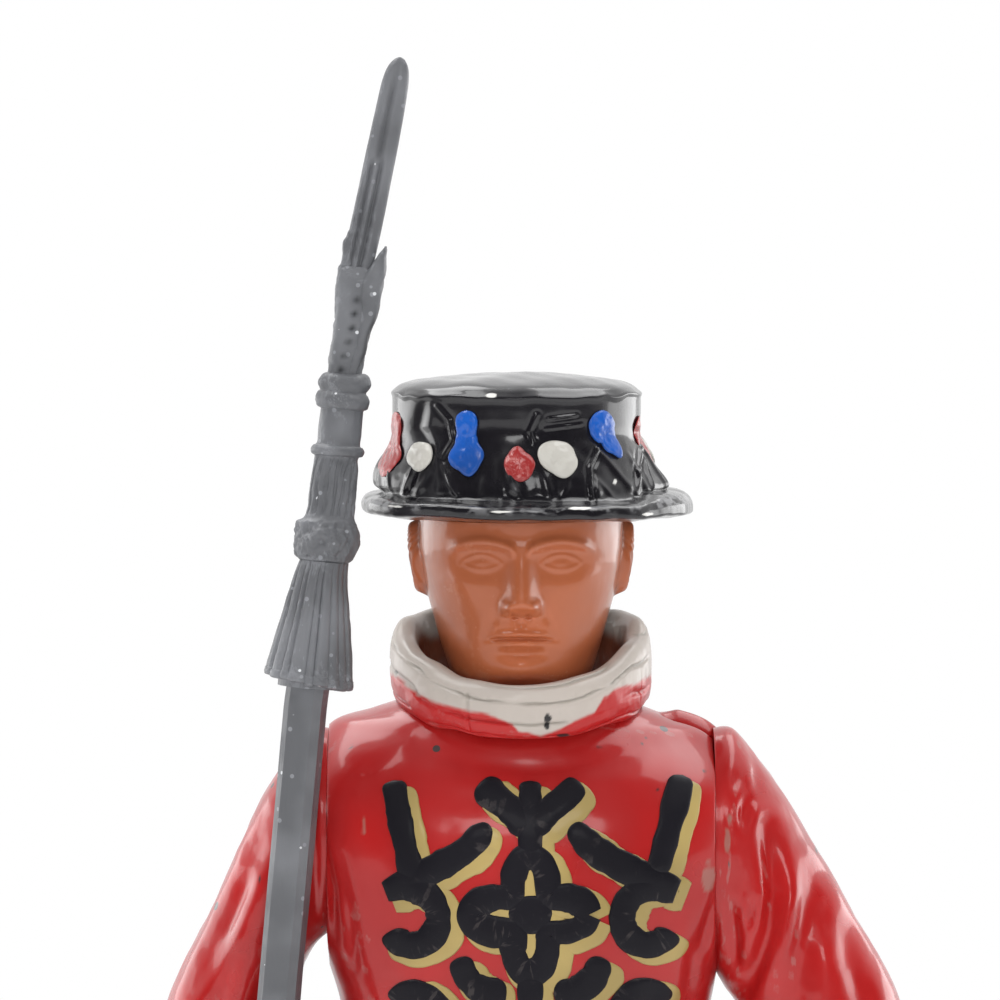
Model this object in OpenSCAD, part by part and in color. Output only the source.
// Cast toy guard on a base plate, with a turning head, swinging arms and a loose polearm.
// The figure faces -Y, its right hand is on the -X side, and the table is at z = 0.

/* [Base] */
// Length of the base plate, side to side
base_l = 27; // [25:0.5:34]
// Width of the base plate, front to back
base_w = 19; // [17:0.5:26]
// Thickness of the base plate
base_t = 1.8; // [1.4:0.1:3]
// Corner radius of the base plate
base_corner_r = 3; // [1.5:0.25:6]
// Bevel round the top of the base plate
base_bevel = 0.5; // [0.2:0.05:0.8]

/* [Foot rivets] */
// Diameter of the rivet shank
rivet_d = 1.2; // [0.8:0.05:1.4]
// Diameter of the rivet head
rivet_head_d = 2.4; // [1.8:0.1:3]
// Thickness of the rivet head
rivet_head_t = 0.6; // [0.4:0.05:0.8]
// Length of shank above the shoe
rivet_grip = 2; // [1:0.25:3]

/* [Shoes] */
// Distance between the feet
stance_w = 5.6; // [5:0.1:6.4]
// Angle of each foot from straight ahead
toe_out = 10; // [0:1:20]
// Length of a shoe
shoe_l = 8.2; // [7:0.1:9.5]
// Width of a shoe
shoe_w = 3.2; // [2.8:0.1:4]
// Height of a shoe
shoe_h = 2.6; // [2:0.1:3.4]
// Diameter of the rosette on a shoe
rosette_d = 1.7; // [1.2:0.1:2.2]
// Thickness of the rosette on a shoe
rosette_t = 0.6; // [0.4:0.05:0.9]

/* [Legs] */
// Height of stocking seen between shoe and hem
stocking_h = 14.2; // [11:0.2:17]
// Diameter of the ankle
ankle_d = 2.2; // [1.8:0.1:2.6]
// Diameter of the calf
calf_d = 3.4; // [2.8:0.1:4]
// Diameter of the knee
knee_d = 3; // [2.6:0.1:3.8]
// Diameter of the thigh
thigh_d = 4; // [3.4:0.1:4.6]
// Diameter of the peg on top of a leg
leg_peg_d = 1.6; // [1.2:0.1:2.2]
// Length of the peg on top of a leg
leg_peg_l = 2.5; // [1.5:0.25:4]

/* [Tunic] */
// Height of the skirt, hem to belt
skirt_h = 15.2; // [12:0.2:18]
// Width of the skirt at the hem
skirt_w = 15.2; // [13:0.2:15.6]
// Depth of the skirt at the hem
skirt_d = 12.4; // [10.5:0.2:14]
// Depth of one skirt pleat
pleat_h = 0.3; // [0.1:0.05:0.5]
// Number of skirt pleats
pleats = 12; // [8:4:12]
// Thickness of the skirt at the hem
hem_t = 1; // [0.7:0.1:1.5]
// Height of the hollow under the skirt
hollow_h = 3.2; // [2:0.2:6]
// Width of the waist
waist_w = 9.8; // [8.5:0.1:10.6]
// Depth of the waist
waist_d = 7.6; // [6.8:0.1:8.6]
// Height from the belt to the shoulder
chest_h = 11.9; // [10.5:0.1:14]
// Width between the flat shoulder sides
chest_w = 11; // [10:0.1:12]
// Depth of the chest
chest_d = 7.5; // [6.8:0.1:8.4]
// Rise from the shoulder to the neck
yoke_h = 1.1; // [0.8:0.05:1.6]
// Diameter of the neck boss
neck_d = 4.7; // [4.2:0.1:5]

/* [Belt] */
// Height of the belt
belt_h = 1.7; // [1.2:0.1:2.4]
// Thickness of the belt
belt_t = 0.4; // [0.25:0.05:0.7]
// Width of the buckle
buckle_w = 2.6; // [2:0.1:3.4]
// Height of the buckle
buckle_h = 2.3; // [1.9:0.1:3]
// Thickness of the buckle
buckle_t = 0.4; // [0.25:0.05:0.6]
// Width of the buckle frame
buckle_rim = 0.5; // [0.3:0.05:0.7]

/* [Ruff] */
// Outside diameter of the ruff
ruff_d = 7.5; // [7.3:0.05:8]
// Thickness of the ruff, inside to outside
ruff_t = 0.85; // [0.7:0.05:0.9]
// Height of the ruff at the front
ruff_h = 1.5; // [1.3:0.05:1.7]
// Extra height of the ruff at the back
ruff_rise_h = 1; // [0.8:0.05:1.5]
// Drop of the middle of the ruff below the neck boss at the front
ruff_drop_h = 0.35; // [0.2:0.05:0.5]
// Rise of the middle of the ruff from front to back
ruff_slope_h = 1.4; // [1.2:0.05:1.8]
// Depth of the pleats of the ruff
ruff_pleat_h = 0.05; // [0.02:0.01:0.08]

/* [Head] */
// Height of the head from the neck boss to the hat
head_h = 4.9; // [4.5:0.1:5.6]
// Width of the head without ears
head_w = 5.8; // [5.2:0.1:6.2]
// Depth of the head without nose
head_d = 6.3; // [5.6:0.1:6.6]
// Diameter of the neck peg
neck_peg_d = 2; // [1.4:0.1:2.4]
// Length of the neck peg
neck_peg_l = 3; // [2:0.25:4]
// Diameter of the spigot under the hat
hat_peg_d = 2.4; // [1.6:0.1:3]
// Height of the spigot under the hat
hat_peg_l = 1.4; // [0.8:0.1:2]

/* [Hat] */
// Diameter of the brim
brim_d = 9.5; // [8.6:0.1:10.4]
// Thickness of the brim at its edge
brim_t = 0.55; // [0.4:0.05:0.8]
// Diameter of the crown
crown_d = 7.1; // [6.6:0.1:7.6]
// Height of the hat
hat_h = 4.15; // [3.6:0.05:5]
// Height of the gathered flare at the foot of the crown
flare_h = 2.4; // [1.8:0.1:2.8]
// How far the flare stands out at its foot
flare_w = 0.75; // [0.4:0.05:0.9]
// Depth of the gathers in the crown
gather_h = 0.06; // [0.02:0.01:0.12]
// Sideways set of the brim against the crown
hat_skew_w = 0.26; // [0:0.02:0.4]
// Width of a ribbon bow
bow_w = 1.15; // [0.9:0.05:1.3]
// Height of a small bow
bow_h = 1; // [0.8:0.05:1.3]
// Height of a tall bow
tall_bow_h = 1.85; // [1.5:0.05:2]
// Thickness of a bow
bow_t = 0.32; // [0.24:0.02:0.5]

/* [Arms] */
// Reach of the sleeve sideways from the shoulder
arm_reach = 6.6; // [6:0.1:7.2]
// Height of the left sleeve, shoulder to cuff
left_arm_l = 17.4; // [15.5:0.2:19]
// How far the left cuff comes forward
left_forward = 1.8; // [0.5:0.1:3]
// Thickness of the sleeve, front to back
sleeve_d = 4.4; // [4:0.1:4.8]
// Height of the shoulder pivot below the shoulder
pivot_drop = 3; // [2.6:0.1:3.6]
// Diameter of the shoulder pin
shoulder_pin_d = 1.8; // [1.2:0.1:2.4]
// Length of the shoulder pin inside the tunic
pin_seat_l = 2.6; // [1.5:0.1:3.5]
// Length of the shoulder pin inside the arm
pin_reach = 1.5; // [0.9:0.1:1.7]
// Turned cuff standing out from the sleeve
cuff_step_h = 0.18; // [0.05:0.01:0.3]

/* [Hands] */
// Width of a fist across the knuckles
fist_w = 2.9; // [2.6:0.1:3.2]
// Thickness of a fist
fist_d = 2.6; // [2.4:0.1:3]
// Height of a fist
fist_h = 3; // [2.6:0.1:3.6]
// Diameter of the wrist
wrist_d = 1.9; // [1.5:0.1:2.2]
// Bulge of a finger
finger_h = 0.1; // [0.04:0.01:0.16]
// Height of the grip below the waist
grip_drop = 1.7; // [1:0.1:2.6]

/* [Polearm] */
// Width of the pole
pole_w = 1.2; // [1:0.05:1.3]
// Thickness of the pole
pole_t = 1.05; // [0.9:0.05:1.2]
// Chamfer along the pole
pole_chamfer = 0.22; // [0.1:0.02:0.3]
// Lean of the pole towards the head
lean_in = 5.2; // [3:0.1:7]
// Lean of the pole towards the back
lean_back = 1.5; // [0:0.1:3]
// Bend of the blade towards the head
blade_bend = 3.2; // [0:0.1:5]
// Bend of the tassel and all above it towards the head
top_bend = 1.5; // [0:0.1:2.5]
// Length from the grip to the hem of the tassel
tassel_rise = 16.8; // [15:0.1:18]
// Diameter of the tassel at its hem
tassel_d = 2.45; // [2.1:0.05:2.7]
// Height of the tassel
tassel_h = 3.56; // [2.8:0.05:4.2]
// Depth of the flutes in the tassel
flute_h = 0.07; // [0.03:0.01:0.1]
// Diameter of the knob
knob_d = 1.9; // [1.6:0.05:2]
// Height of the knob
knob_h = 1.2; // [0.9:0.05:1.5]
// Diameter of the shaft above the knob
shaft_d = 1.36; // [1.2:0.02:1.5]
// Diameter at the top of the shaft
shaft_top_d = 1.22; // [1:0.02:1.3]
// Height of the shaft from knob to collar
shaft_h = 4.2; // [3.4:0.1:5]
// Diameter of the collar rings
collar_d = 1.52; // [1.4:0.02:1.8]
// Height of one collar ring
collar_h = 0.5; // [0.3:0.02:0.6]
// Length from the collar to the tip of the blade
blade_l = 9; // [7:0.1:11]
// Width of the blade
blade_w = 0.86; // [0.7:0.02:1.1]
// Thickness of the blade
blade_t = 0.5; // [0.36:0.02:0.7]
// Length of the side wings
wing_l = 3.9; // [3:0.1:4.6]
// Width across the side wings
wing_w = 1.5; // [1.3:0.05:1.8]
// Thickness of the side wings
wing_t = 0.62; // [0.5:0.02:0.8]

/* [Fits] */
// Gap between parts that sit on each other
seat_gap = 0.05; // [0.03:0.01:0.1]
// Radial gap of pegs and pins in their bores
bore_gap = 0.05; // [0.03:0.01:0.09]
// Gap between a swinging arm and the tunic
arm_gap = 0.06; // [0.05:0.01:0.15]
// Gap between the swinging polearm and the brim
swing_gap = 0.24; // [0.1:0.01:0.3]
// Gap between the pole and the sleeve behind it
pole_gap = 0.3; // [0.2:0.05:0.6]
// Gap between the butt of the pole and the base plate
butt_gap = 0.35; // [0.3:0.05:0.8]

/* [Hidden] */
$fn = 48;
red_paint = "#b3282b";
black_paint = "#1d1c20";
flesh_paint = "#a8603f";
white_paint = "#e6e0da";
blue_paint = "#27489b";
gold_paint = "#b98a2c";
green_paint = "#4c7a3c";
steel = "#8d9096";
grey_plastic = "#8f8f94";

// Heights above the table
shoe_top_z = base_t + shoe_h;
hem_z = shoe_top_z + stocking_h;
waist_z = hem_z + skirt_h;
belt_top_z = waist_z + belt_h;
shoulder_z = belt_top_z + chest_h;
neck_z = shoulder_z + yoke_h;
head_z = neck_z + seat_gap;
hat_z = head_z + head_h + seat_gap;
pivot_z = shoulder_z - pivot_drop;
hollow_z = hem_z + hollow_h;
leg_l = stocking_h + hollow_h - seat_gap;

side_x = chest_w / 2;
arm_x = side_x + arm_gap;
foot_x = stance_w / 2;

// Line of the polearm, given on the +X side and mirrored to the right hand
brim_mid_z = hat_z + brim_t / 2;
pole_x_at_brim = brim_d / 2 + swing_gap + shaft_d / 2;
pole_y_at_pivot = -(sleeve_d + pole_t) / 2 - pole_gap;
grip_z = waist_z - grip_drop;
grip = [pole_x_at_brim + (brim_mid_z - grip_z) * tan(lean_in),
        pole_y_at_pivot - (pivot_z - grip_z) * tan(lean_back) / cos(lean_in),
        grip_z];
right_arm_l = shoulder_z - grip_z;
butt_drop = (grip_z - base_t - butt_gap) / (cos(lean_in) * cos(lean_back));
pole_bore_d = norm([pole_w - pole_chamfer, pole_t]) + 2 * bore_gap;

// Rows: height, flare, pleat depth
skirt_shares = [[0, 1, 1], [0.06, 1, 1], [0.3, 0.8, 0.95], [0.55, 0.52, 0.7], [0.8, 0.22, 0.4], [1, 0, 0]];
// Rows: height, width, front, back, squareness
chest_shares = [[0.05, 0.9, 0.515, 0.5, 2.3], [0.3, 0.93, 0.54, 0.5, 2.4], [0.43, 1, 0.537, 0.505, 2.5],
                [0.56, 1.03, 0.53, 0.51, 2.6], [0.76, 1.03, 0.5, 0.5, 2.8], [0.89, 1.03, 0.43, 0.46, 2.7]];
// Rows: height, width, front, back
yoke_shares = [[0, 0.99, 0.34, 0.39], [0.4, 0.78, 0.318, 0.35], [0.75, 0.58, 0.314, 0.33]];
// Rows: height, width, front, back
head_shares = [[0, 0.33, 0.27, 0.33], [0.05, 0.335, 0.345, 0.335], [0.12, 0.355, 0.41, 0.345],
               [0.25, 0.39, 0.425, 0.36], [0.4, 0.425, 0.435, 0.4], [0.53, 0.455, 0.45, 0.45],
               [0.66, 0.48, 0.465, 0.49], [0.82, 0.5, 0.475, 0.51], [1, 0.5, 0.48, 0.515]];
// Rows: place out from the middle, height, spread, rise, how far it stands out
face_shares = [[0, 0.72, 0.05, 0.15, 0.06], [0, 0.545, 0.062, 0.075, 0.085],
               [0.062, 0.515, 0.034, 0.045, 0.03], [0.155, 0.9, 0.13, 0.045, 0.025],
               [0.17, 0.785, 0.09, 0.06, -0.036],
               [0.17, 0.78, 0.062, 0.035, 0.024], [0.27, 0.58, 0.12, 0.1, 0.02],
               [0.03, 0.36, 0.08, 0.03, 0.018], [0, 0.29, 0.07, 0.03, 0.02],
               [0, 0.225, 0.09, 0.03, -0.016], [0, 0.13, 0.09, 0.065, 0.02]];
// Place back from the middle, height, spread, rise and how far the ear stands out
ear_shares = [0.02, 0.78, 0.06, 0.24, 0.055];
// Rows: radius between crown and brim, height of the brim edge
brim_shares = [[0.3, 0], [0.8, 0.2], [0.965, 0.3], [1, 0.55], [0.97, 0.86], [0.86, 1]];
// Rows: height of the flare, gather depth
flare_shares = [[0.26, 0.5], [0.45, 1], [0.7, 1], [1, 0.5]];
// Rows: crown radius, height of the hat, gather depth
crown_shares = [[1, 0.66, 0.5], [1, 0.76, 1], [0.99, 0.82, 1], [0.955, 0.87, 0.8], [0.87, 0.915, 0.5],
                [0.68, 0.965, 0.5], [0.3, 1, 0]];
// Rows: outer place along and down, inner place along and down, forward, half thickness
left_arm_shares = [[0, 0, 0, 0.365, 0, 0.38], [0.07, 0.002, 0.01, 0.382, 0, 0.45],
                   [0.174, 0.04, 0.023, 0.4, 0, 0.51], [0.303, 0.115, 0.045, 0.42, 0, 0.51],
                   [0.455, 0.213, 0.076, 0.448, 0, 0.51], [0.606, 0.31, 0.129, 0.489, 0, 0.51],
                   [0.757, 0.414, 0.197, 0.54, 0, 0.51], [0.9, 0.529, 0.303, 0.609, 0.05, 0.5],
                   [0.985, 0.655, 0.394, 0.678, 0.2, 0.48], [1, 0.78, 0.44, 0.782, 0.45, 0.45],
                   [0.955, 0.9, 0.46, 0.905, 0.78, 0.4], [0.91, 1, 0.5, 1, 1, 0.36]];
right_arm_shares = [[0, 0, 0, 0.39, 0, 0.38], [0.06, 0.002, 0.03, 0.402, 0, 0.45],
                    [0.15, 0.049, 0.06, 0.416, 0, 0.51], [0.275, 0.131, 0.09, 0.436, 0, 0.51],
                    [0.415, 0.242, 0.125, 0.472, -0.02, 0.51], [0.535, 0.353, 0.165, 0.525, -0.08, 0.51],
                    [0.655, 0.47, 0.215, 0.595, -0.18, 0.51], [0.775, 0.6, 0.27, 0.68, -0.33, 0.5],
                    [0.855, 0.73, 0.305, 0.765, -0.38, 0.49], [0.865, 0.845, 0.305, 0.86, -0.22, 0.46],
                    [0.785, 0.905, 0.285, 0.923, 0.15, 0.4], [0.68, 0.94, 0.235, 0.955, 0.5, 0.345]];
// Rows: height, width, heel, toe
shoe_shares = [[0, 0.46, 0.27, 0.68], [0.08, 0.5, 0.29, 0.71], [0.3, 0.49, 0.285, 0.7],
               [0.5, 0.45, 0.27, 0.62], [0.68, 0.41, 0.245, 0.42], [0.84, 0.375, 0.22, 0.26],
               [1, 0.36, 0.205, 0.2]];
// Rows: height, radius as shares of the ankle, calf, knee and thigh, place back
leg_shares = [[0, 0.5, 0, 0, 0, 0], [0.12, 0.5, 0, 0, 0, 0], [0.28, 0.22, 0.28, 0, 0, 0.03],
              [0.46, 0, 0.5, 0, 0, 0.05], [0.62, 0, 0.1, 0.4, 0, 0], [0.71, 0, 0, 0.5, 0, -0.03],
              [0.86, 0, 0, 0.15, 0.35, 0], [1, 0, 0, 0, 0.5, 0]];
// Rows: height, flare from shaft to hem, flute depth
tassel_shares = [[0, 1, 0.6], [0.02, 1, 1], [0.3, 0.76, 1], [0.7, 0.3, 0.8], [1, 0, 0.3]];
// Half outline of the blade wings: place out from the middle, height
wing_shares = [[0.62, 0], [0.66, 0.3], [0.8, 0.62], [1, 0.93], [0.94, 1], [0.7, 0.86], [0.45, 0.72],
               [0.12, 0.56]];
// Rows: place across, place through the blade
blade_section_shares = [[1, 0], [0.5, 1], [0, 0.8], [-0.5, 1], [-1, 0], [-0.5, -1], [0, -0.8], [0.5, -1]];
// Pinch in the middle of a bow
bow_pinch_share = 0.3;
// Place of the thin ring between knob and collar
ring_share = 0.44;
// Root of the knob bead in the shaft
knob_root_share = 0.8;
// Place of the left fist beyond its cuff
wrist_share = 0.62;
// Place and height of a rosette on the instep
instep_share = 0.34;
instep_h_share = 0.81;
instep_turn = 72;
// Part of the chest that the ruff is cut to
ruff_seat_share = 0.8;
// Numbers of points round the sections
leg_points = 16;
shoe_points = 24;
arm_points = 24;
fist_points = 20;
bow_points = 12;
crown_points = 48;
ruff_sections = 48;
ruff_points = 12;
head_points = 40;
flutes = 20;
bead_points = 8;
corner_points = 6;
// How square the sections are
shoe_squareness = 2.2;
waist_squareness = 2.2;
fist_squareness = 2.6;
// How much closer the points lie on the face
front_bias = 26;
// Rows: height, size, finger bulge
fist_shares = [[0, 0.72, 0], [0.05, 0.88, 0.2], [0.125, 0.97, 1], [0.25, 0.94, -1], [0.375, 1, 1],
               [0.5, 0.96, -1], [0.625, 1, 1], [0.75, 0.94, -1], [0.875, 0.96, 1],
               [0.95, 0.88, 0.2], [1, 0.72, 0]];
// Rows: outline size, depth of a bow
bow_shares = [[0.86, 0], [1, 0.35], [0.86, 0.72], [0.45, 1]];
// Rows: width, height of the blade above the collar
blade_shares = [[0.86, 0.1], [1, 0.22], [1.02, 0.45], [0.98, 0.7], [0.92, 0.9], [0.72, 0.962],
                [0.36, 0.992]];
// Rows: place round the crown from the front, height on the hat, width, height from small to tall
red_bow_shares = [[-0.211, 0.5, 1, 1], [0, 0.4, 0.82, 0], [0.217, 0.52, 0.9, 0.5],
                  [0.458, 0.42, 0.9, 0]];
white_bow_shares = [[-0.133, 0.43, 0.9, -0.2], [0.046, 0.425, 1, 0.05], [0.292, 0.42, 1, 0],
                    [0.542, 0.42, 1, 0]];
blue_bow_shares = [[-0.064, 0.53, 0.98, 1], [0.117, 0.58, 1, 0.45], [0.375, 0.53, 1, 1],
                   [0.633, 0.53, 1, 0.6]];

function mix(a, b, u) = a + (b - a) * u;
function signed_power(v, e) = sign(v) * pow(abs(v), e);
function unit(v) = v / norm(v);

// Row of a table at a fractional row number, on a smooth curve through the rows
function row_at(rows, s) =
    let (last = len(rows) - 1, i = min(floor(s), last - 1), u = s - i)
    let (a = rows[max(i - 1, 0)], b = rows[i], c = rows[i + 1], d = rows[min(i + 2, last)])
    b + (c - a) * (u / 2) + (2 * a - 5 * b + 4 * c - d) * (u * u / 2)
        + (3 * b - a - 3 * c + d) * (u * u * u / 2);
function smooth(rows, steps) = [for (k = [0 : (len(rows) - 1) * steps]) row_at(rows, k / steps)];

function middle(ring) = [for (p = ring) 1 / len(ring)] * ring;

// Closed solid through a stack of rings with equal numbers of points
module skin(rings) {
    n = len(rings[0]);
    m = len(rings);
    bottom = m * n;
    top = bottom + 1;
    sides = [for (i = [0 : m - 2]) for (k = [0 : n - 1]) let (j = (k + 1) % n)
        each [[i * n + k, (i + 1) * n + j, i * n + j], [i * n + k, (i + 1) * n + k, (i + 1) * n + j]]];
    lids = [for (k = [0 : n - 1]) let (j = (k + 1) % n)
        each [[bottom, k, j], [top, (m - 1) * n + j, (m - 1) * n + k]]];
    points = concat([for (ring = rings) each ring], [middle(rings[0]), middle(rings[m - 1])]);
    polyhedron(points, concat(sides, lids));
}

// Closed loop through rings with equal numbers of points
module loop_skin(rings) {
    n = len(rings[0]);
    m = len(rings);
    faces = [for (i = [0 : m - 1]) for (k = [0 : n - 1]) let (j = (k + 1) % n, o = (i + 1) % m)
        each [[i * n + k, o * n + j, i * n + j], [i * n + k, o * n + k, o * n + j]]];
    polyhedron([for (ring = rings) each ring], faces);
}

// Oval ring at a height, with its own depth in front and behind
function oval(z, half_w, front, back, squareness, n, swell = 0, waves = 0, side = undef) =
    [for (k = [0 : n - 1]) let (t = 360 * k / n, out = 1 + swell * cos(waves * t))
        let (x = half_w * signed_power(cos(t), 2 / squareness) * out)
        [is_undef(side) ? x : max(-side, min(side, x)),
         (sin(t) < 0 ? front : back) * signed_power(sin(t), 2 / squareness) * out, z]];

module base_plate() {
    color(green_paint)
    difference() {
        skin([for (row = [[0, 0], [0, base_t - base_bevel], [base_bevel, base_t]])
            base_outline(row[0], row[1])]);
        for (side = [-1, 1]) translate([side * foot_x, 0, 0]) {
            cylinder(d = rivet_head_d + 2 * bore_gap, h = 2 * (rivet_head_t + 2 * seat_gap), center = true);
            cylinder(d = rivet_d + 2 * bore_gap, h = 3 * base_t, center = true);
        }
    }
}

function base_outline(inset, z) =
    [for (q = [0 : 3]) for (k = [0 : corner_points]) let (t = 90 * (q + k / corner_points))
        [(q == 0 || q == 3 ? 1 : -1) * (base_l / 2 - base_corner_r) + (base_corner_r - inset) * cos(t),
         (q < 2 ? 1 : -1) * (base_w / 2 - base_corner_r) + (base_corner_r - inset) * sin(t), z]];

module foot_rivets() {
    color(steel)
    for (side = [-1, 1]) translate([side * foot_x, 0, seat_gap]) {
        cylinder(d = rivet_head_d, h = rivet_head_t);
        cylinder(d = rivet_d, h = shoe_top_z + rivet_grip - seat_gap);
    }
}

module rivet_bore(side) {
    translate([side * foot_x, 0, 0])
        cylinder(d = rivet_d + 2 * bore_gap, h = shoe_top_z + rivet_grip + seat_gap);
}

function shoe_rows() = smooth(shoe_shares, 2);

module shoe(side) {
    color(black_paint)
    difference() {
        translate([side * foot_x, 0, base_t + seat_gap])
            rotate([0, 0, side * toe_out])
                skin([for (row = shoe_rows())
                    oval(row[0] * (shoe_h - 2 * seat_gap), row[1] * shoe_w, row[3] * shoe_l, row[2] * shoe_l,
                         shoe_squareness, shoe_points)]);
        rivet_bore(side);
    }
}
module left_shoe() { shoe(1); }
module right_shoe() { shoe(-1); }

// Lobed bow with a flat back at the origin, standing out along -Y
function bow_ring(w, h, size, depth) =
    [for (k = [0 : bow_points - 1])
        let (t = 360 * k / bow_points, waist = 1 - bow_pinch_share * pow(cos(t), 2))
        [size * w / 2 * cos(t) * waist, -depth, size * h / 2 * sin(t)]];
module bow(w, h, t) { skin([for (row = bow_shares) bow_ring(w, h, row[0], row[1] * t)]); }

module shoe_rosettes() {
    color(white_paint)
    for (side = [-1, 1]) translate([side * foot_x, 0, base_t])
        rotate([0, 0, side * toe_out])
            translate([0, -instep_share * shoe_l, instep_h_share * shoe_h])
                rotate([-instep_turn, 0, 0])
                    bow(rosette_d, rosette_d, rosette_t);
}

function leg_rows() = smooth([for (row = leg_shares) [row[0] * leg_l, row[1] * ankle_d + row[2] * calf_d
    + row[3] * knee_d + row[4] * thigh_d, row[5] * calf_d]], 2);

module leg(side) {
    color(red_paint)
    difference() {
        union() {
            translate([side * foot_x, 0, shoe_top_z])
                skin([for (row = leg_rows()) let (r = row[1])
                    [for (p = oval(row[0], r, r, r, 2, leg_points)) p + [0, row[2], 0]]]);
            translate([side * foot_x, 0, hollow_z - calf_d / 2])
                cylinder(d = leg_peg_d, h = leg_peg_l + calf_d / 2);
        }
        rivet_bore(side);
    }
}
module left_leg() { leg(1); }
module right_leg() { leg(-1); }

// Rows of the tunic: height, half width, front, back, squareness, pleat
function tunic_rows() = concat(
    smooth([for (row = skirt_shares)
        let (w = mix(waist_w, skirt_w, row[1]) / 2, d = mix(waist_d, skirt_d, row[1]) / 2)
        [hem_z + row[0] * skirt_h, w, d, d, waist_squareness, row[2] * pleat_h]], 2),
    smooth(concat([[belt_top_z, waist_w / 2, waist_d / 2, waist_d / 2, waist_squareness, 0]],
        chest_rows(), yoke_rows()), 2));
function chest_rows() = [for (row = chest_shares) [belt_top_z + row[0] * chest_h, row[1] * chest_w / 2,
    row[2] * chest_d, row[3] * chest_d, row[4], 0]];
function yoke_rows() = concat([for (row = yoke_shares) [shoulder_z + row[0] * yoke_h, row[1] * chest_w / 2,
    row[2] * chest_d, row[3] * chest_d, 2, 0]], [[neck_z, neck_d / 2, neck_d / 2, neck_d / 2, 2, 0]]);

function tunic_ring(row, grow = 0) =
    oval(row[0], row[1] + grow, row[2] + grow, row[3] + grow, row[4], 4 * pleats, row[5] / row[1], pleats,
         row[0] > belt_top_z ? side_x + grow : undef);

module tunic() {
    hem = tunic_rows()[0];
    color(red_paint)
    difference() {
        skin(concat(
            [for (z = [hollow_z, hem_z]) tunic_ring([z, hem[1], hem[2], hem[3], hem[4], hem[5]], -hem_t)],
            [for (row = tunic_rows()) tunic_ring(row)]));
        translate([0, 0, neck_z - neck_peg_l - seat_gap])
            cylinder(d = neck_peg_d + 2 * bore_gap, h = 2 * neck_peg_l);
        for (side = [-1, 1]) {
            translate([side * side_x, 0, pivot_z])
                rotate([0, 90, 0])
                    shoulder_bore(pin_seat_l);
            translate([side * foot_x, 0, hem_z])
                cylinder(d = leg_peg_d + 2 * bore_gap, h = hollow_h + leg_peg_l + seat_gap);
        }
    }
}

function waist_outline(grow) = [for (p = oval(0, waist_w / 2 + grow, waist_d / 2 + grow, waist_d / 2 + grow,
    waist_squareness, 4 * pleats)) [p[0], p[1]]];
module belt() {
    color(black_paint)
    translate([0, 0, waist_z])
        linear_extrude(belt_h)
            difference() {
                polygon(waist_outline(belt_t));
                polygon(waist_outline(seat_gap));
            }
}

module buckle() {
    color(gold_paint)
    translate([0, -waist_d / 2 - belt_t - seat_gap, waist_z + belt_h / 2])
        rotate([90, 0, 0])
            linear_extrude(buckle_t) {
                difference() {
                    square([buckle_w, buckle_h], center = true);
                    square([buckle_w - 2 * buckle_rim, buckle_h - 2 * buckle_rim], center = true);
                }
                square([buckle_rim / 2, buckle_h - buckle_rim], center = true);
            }
}

module ruff() {
    mid_r = (ruff_d - ruff_t) / 2;
    color(white_paint)
    difference() {
        loop_skin([for (k = [0 : ruff_sections - 1])
            let (t = 360 * k / ruff_sections, back = (1 + sin(t)) / 2, ease = back * (2 - back))
            let (h = ruff_h + ruff_rise_h * ease, z = neck_z - ruff_drop_h + ruff_slope_h * ease)
            [for (i = [ruff_points - 1 : -1 : 0])
                let (a = 360 * i / ruff_points, fold = ruff_pleat_h * cos(180 * k))
                let (r = mid_r + (ruff_t / 2 + fold) * cos(a))
                [r * cos(t), r * sin(t), z + h / 2 * sin(a)]]]);
        skin([for (row = smooth(concat(chest_rows(), yoke_rows()), 2))
            if (row[0] > mix(belt_top_z, shoulder_z, ruff_seat_share)) tunic_ring(row, seat_gap)]);
    }
}

module shoulder_bore(depth) {
    cylinder(d = shoulder_pin_d + 2 * bore_gap, h = 2 * (depth + seat_gap), center = true);
}

module shoulder_pins() {
    color(steel)
    for (side = [-1, 1]) translate([side * (side_x - pin_seat_l), 0, pivot_z])
        rotate([0, side * 90, 0])
            cylinder(d = shoulder_pin_d, h = pin_seat_l + arm_gap + pin_reach);
}

function bump(at, x, z) = at[4] * exp(-pow((abs(x) - at[0]) / at[2], 2) - pow((z - at[1]) / at[3], 2));
function face_out(x, z, i = 0) =
    i == len(face_shares) ? 0 : bump(face_shares[i], x, z) + face_out(x, z, i + 1);
function head_ring(row) =
    [for (k = [0 : head_points - 1]) let (u = 360 * k / head_points, t = u - front_bias * sin(u))
        let (x = row[1] * sin(t), y = -(cos(t) > 0 ? row[2] : row[3]) * cos(t))
        let (ear = ear_shares[4] * exp(-pow((y - ear_shares[0]) / ear_shares[2], 2)
            - pow((row[0] - ear_shares[1]) / ear_shares[3], 4)))
        [(x + sign(x) * ear) * head_w, (y - (cos(t) > 0 ? face_out(x, row[0]) * sqrt(cos(t)) : 0)) * head_d,
         row[0] * head_h]];

module head() {
    color(flesh_paint)
    union() {
        translate([0, 0, head_z]) skin([for (row = smooth(head_shares, 3)) head_ring(row)]);
        translate([0, 0, neck_z - neck_peg_l]) cylinder(d = neck_peg_d, h = neck_peg_l + head_h / 2);
        translate([0, 0, hat_z - head_h / 2]) cylinder(d = hat_peg_d, h = hat_peg_l + head_h / 2);
    }
}

// Radius of the crown at a height above the underside of the hat
function crown_at(z) = crown_d / 2 + flare_w * max(0, 1 - z / flare_h);
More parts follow.
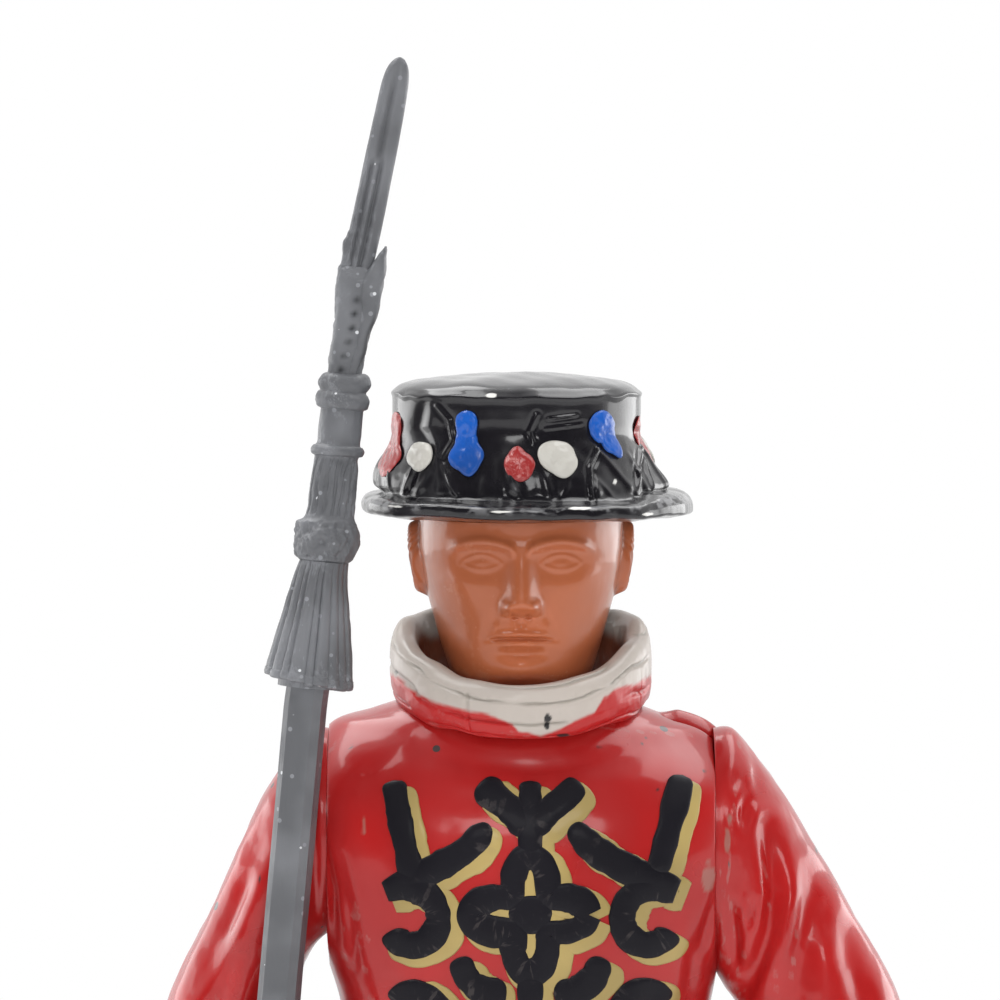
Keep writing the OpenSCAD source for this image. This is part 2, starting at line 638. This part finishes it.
// The brim stands a little to one side of the crown
function hat_x(z) = hat_skew_w * (0.5 - min(1, z / flare_h));
function hat_ring(z, r, gather) =
    [for (p = oval(z, r, r, r, 2, crown_points, gather * gather_h / r, crown_points / 2))
        p + [hat_x(z), 0, 0]];

module hat() {
    crown_r = crown_d / 2;
    color(black_paint)
    difference() {
        translate([0, 0, hat_z])
            skin(concat(
                [for (row = brim_shares) hat_ring(row[1] * brim_t, mix(crown_r, brim_d / 2, row[0]), 0)],
                [for (row = flare_shares) hat_ring(row[0] * flare_h, crown_at(row[0] * flare_h), row[1])],
                [for (row = crown_shares) hat_ring(row[1] * hat_h, row[0] * crown_r, row[2])]));
        translate([0, 0, hat_z - hat_peg_l])
            cylinder(d = hat_peg_d + 2 * bore_gap, h = 2 * hat_peg_l + seat_gap);
    }
}

// Bows seated on the flare, leaning with it
module bows(shares) {
    for (row = shares) {
        z = row[1] * hat_h;
        h = mix(bow_h, tall_bow_h, row[3]);
        foot_r = crown_at(z - h / 2);
        top_r = crown_at(z + h / 2) + gather_h;
        translate([hat_x(z), 0, hat_z + z])
            rotate([0, 0, 360 * row[0]])
                translate([0, -(foot_r + top_r) / 2 - 2 * seat_gap, 0])
                    rotate([-atan((foot_r - top_r) / h), 0, 0])
                        bow(row[2] * bow_w, h, bow_t);
    }
}
module red_bows() { color(red_paint) bows(red_bow_shares); }
module white_bows() { color(white_paint) bows(white_bow_shares); }
module blue_bows() { color(blue_paint) bows(blue_bow_shares); }

// Sections of a sleeve on the +X side: middle, half length vector, half thickness vector
function arm_point(along, down, forward, arm_l, reach) =
    [arm_x + along * arm_reach, -forward * reach, shoulder_z - down * arm_l];
function arm_sections(shares, arm_l, reach) =
    let (rows = smooth(shares, 1), last = len(rows) - 1)
    let (outer = [for (r = rows) arm_point(r[0], r[1], r[4], arm_l, reach)])
    let (inner = [for (r = rows) arm_point(r[2], r[3], r[4], arm_l, reach)])
    let (mids = (outer + inner) / 2)
    [for (i = [0 : last])
        let (along = mids[min(i + 1, last)] - mids[max(i - 1, 0)], half = (outer[i] - inner[i]) / 2)
        [mids[i], half, unit(cross(i == 0 ? [1, 0, 0] : along, half)) * rows[i][5] * sleeve_d]];

function arm_ring(section, grow = 0) =
    let (wide = section[1] + unit(section[1]) * grow, deep = section[2] + unit(section[2]) * grow)
    [for (k = [0 : arm_points - 1]) let (t = 360 * k / arm_points)
        section[0] + wide * cos(t) + deep * sin(t)];

// Sleeve with a turned cuff at its end
module sleeve(sections) {
    last = len(sections) - 1;
    difference() {
        skin([for (i = [0 : last]) arm_ring(sections[i], i == last ? cuff_step_h : 0)]);
        translate([arm_x, 0, pivot_z])
            rotate([0, 90, 0])
                shoulder_bore(pin_reach);
    }
}

// Frame at the end of a sleeve, with its third axis pointing out of the cuff
module at_cuff(sections) {
    cuff = sections[len(sections) - 1];
    v = unit(cuff[1]);
    u = unit(cuff[2]);
    n = cross(v, u);
    multmatrix([for (i = [0 : 2]) [v[i], u[i], n[i], cuff[0][i]]]) children();
}

module fist() {
    skin([for (row = fist_shares)
        let (w = row[1] * fist_w / 2 + row[2] * finger_h, d = row[1] * fist_d / 2 + row[2] * finger_h)
        oval((row[0] - 0.5) * fist_h, w, d, d, fist_squareness, fist_points)]);
}

left_sections = arm_sections(left_arm_shares, left_arm_l, left_forward);
right_sections = arm_sections(right_arm_shares, right_arm_l, -grip[1]);

module left_arm() { color(red_paint) sleeve(left_sections); }

left_wrist_l = wrist_share * fist_d;
module left_hand() {
    color(flesh_paint)
    at_cuff(left_sections) union() {
        translate([0, 0, seat_gap]) cylinder(d = wrist_d, h = left_wrist_l);
        translate([0, 0, left_wrist_l]) rotate([90, 0, 0]) fist();
    }
}

module at_grip() { translate(grip) rotate([-lean_back, -lean_in, 0]) children(); }

module right_arm() {
    color(red_paint)
    mirror([1, 0, 0])
        sleeve(right_sections);
}

module right_hand() {
    color(flesh_paint)
    mirror([1, 0, 0])
        difference() {
            union() {
                at_grip() fist();
                at_cuff(right_sections) cylinder(d = wrist_d, h = fist_d);
            }
            at_cuff(right_sections)
                translate([0, 0, seat_gap - sleeve_d])
                    linear_extrude(sleeve_d)
                        square([2 * sleeve_d, 2 * sleeve_d], center = true);
            at_grip() cylinder(d = pole_bore_d, h = 3 * fist_h, center = true);
        }
}

module polearm() {
    knob_z = tassel_rise + tassel_h;
    shaft_z = knob_z + knob_h;
    collar_z = shaft_z + shaft_h;
    color(grey_plastic)
    mirror([1, 0, 0])
        at_grip() union() {
            translate([0, 0, -butt_drop])
                linear_extrude(butt_drop + tassel_rise + tassel_h / 2)
                    polygon(pole_outline());
            translate([0, 0, tassel_rise]) rotate([0, -top_bend, 0]) translate([0, 0, -tassel_rise]) {
                tassel();
                shaft_profile(knob_z, shaft_z, collar_z);
                translate([0, 0, collar_z]) rotate([0, -blade_bend, 0]) blade();
            }
        }
}

function pole_outline() = let (x = pole_w / 2, y = pole_t / 2, c = pole_chamfer)
    [[x - c, -y], [x, c - y], [x, y - c], [x - c, y], [c - x, y], [-x, y - c], [-x, c - y], [c - x, -y]];

module tassel() {
    translate([0, 0, tassel_rise])
        skin([for (row = tassel_shares) let (r = mix(shaft_d, tassel_d, row[1]) / 2)
            oval(row[0] * tassel_h, r, r, r, 2, 2 * flutes, row[2] * flute_h / (2 * r), flutes)]);
}

function bead(z, h, r, core) = [for (k = [0 : bead_points]) let (t = 180 * k / bead_points - 90)
    [core + (r - core) * cos(t), z + h / 2 * (1 + sin(t))]];
module shaft_profile(knob_z, shaft_z, collar_z) {
    r = shaft_d / 2;
    top_r = shaft_top_d / 2;
    ring_z = mix(shaft_z, collar_z, ring_share);
    rotate_extrude()
        polygon(concat([[0, knob_z - tassel_h / 4], [r / 2, knob_z - tassel_h / 4]],
            bead(knob_z, knob_h, knob_d / 2, knob_root_share * r),
            [[r, shaft_z], [top_r, ring_z]],
            bead(ring_z, collar_h / 2, collar_d / 2, top_r),
            [[top_r, collar_z - 2 * collar_h]],
            bead(collar_z - 2 * collar_h, collar_h, collar_d / 2, top_r),
            bead(collar_z - collar_h, collar_h, collar_d / 2, top_r), [[0, collar_z]]));
}

module blade() {
    skin([for (row = blade_shares) [for (p = blade_section_shares)
        [p[0] * row[0] * blade_w / 2, p[1] * row[0] * blade_t / 2, row[1] * blade_l]]]);
    rotate([90, 0, 0])
        linear_extrude(wing_t, center = true)
            polygon(wing_outline());
}

function wing_outline() = concat(
    [for (row = wing_shares) [row[0] * wing_w / 2, row[1] * wing_l - collar_h / 2]],
    [for (i = [len(wing_shares) - 1 : -1 : 0]) let (row = wing_shares[i])
        [-row[0] * wing_w / 2, row[1] * wing_l - collar_h / 2]]);

base_plate();
foot_rivets();
left_shoe();
right_shoe();
shoe_rosettes();
left_leg();
right_leg();
tunic();
belt();
buckle();
ruff();
shoulder_pins();
head();
hat();
red_bows();
white_bows();
blue_bows();
left_arm();
left_hand();
right_arm();
right_hand();
polearm();
